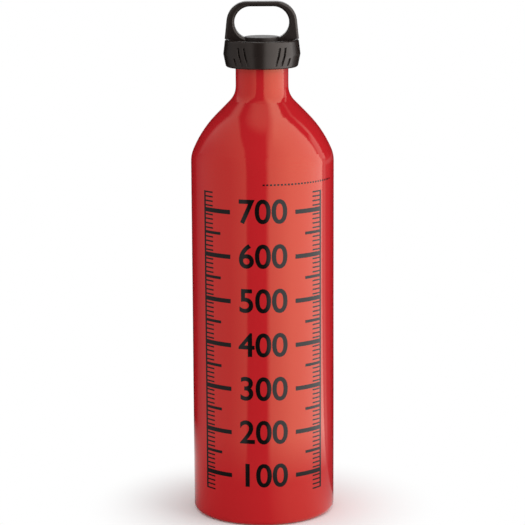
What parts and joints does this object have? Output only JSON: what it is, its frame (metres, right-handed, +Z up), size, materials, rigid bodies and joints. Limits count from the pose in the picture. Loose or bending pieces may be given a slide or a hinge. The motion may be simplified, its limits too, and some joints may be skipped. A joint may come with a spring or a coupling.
{
  "type": "camping fuel bottle",
  "caption": "Slim red aluminium camping fuel bottle with a domed base, rounded shoulder and threaded neck, closed by a black push-and-turn stopper cap with a fixed carry loop.",
  "frame": {"origin": "centre of the bottle's foot, on the surface it stands on", "axes": "+Z up the bottle's axis; the carry loop's plane is XZ, and -Y faces the viewer of the picture"},
  "size_m": [0.0758, 0.0758, 0.2741],
  "materials": {
    "bottle_red": "gloss",
    "cap_black": "satin",
    "disc_black": "satin",
    "plug_plastic": "satin",
    "seal_rubber": "matte",
    "spring_steel": "satin",
    "washer_plastic": "satin"
  },
  "bodies": {
    "bottle": {"bottle_body": "bottle_red"},
    "gasket": {"lip_gasket": "seal_rubber"},
    "plug": {"threaded_plug": "plug_plastic", "return_spring": "spring_steel"},
    "washer": {"slip_washer": "washer_plastic"},
    "cap_shell": {"grip_ring": "cap_black", "loop_top": "cap_black", "top_disc": "disc_black"}
  },
  "joints": [
    {"name": "cap_lift", "type": "slide", "parent": "bottle", "child": "gasket", "axis": [0, 0, 1], "range_m": [0, 0.01201]},
    {"name": "cap_turn", "type": "hinge", "parent": "gasket", "child": "plug", "pos_m": [0, 0, 0.24434], "axis": [0, 0, 1], "range_deg": [0, 1440]},
    {"name": "cap_push", "type": "slide", "parent": "plug", "child": "washer", "axis": [0, 0, 1], "range_m": [-0.0016, 0], "stiffness_N_per_m": 1650, "springref_m": 0.006, "deforming": ["return_spring"]},
    {"name": "cap_spin", "type": "hinge", "parent": "washer", "child": "cap_shell", "pos_m": [0, 0, 0.25164], "axis": [0, 0, 1], "continuous": true}
  ],
  "couplings": [
    {"joint": "cap_lift", "follows": "cap_turn", "m_per_rad": 0.00047746}
  ]
}
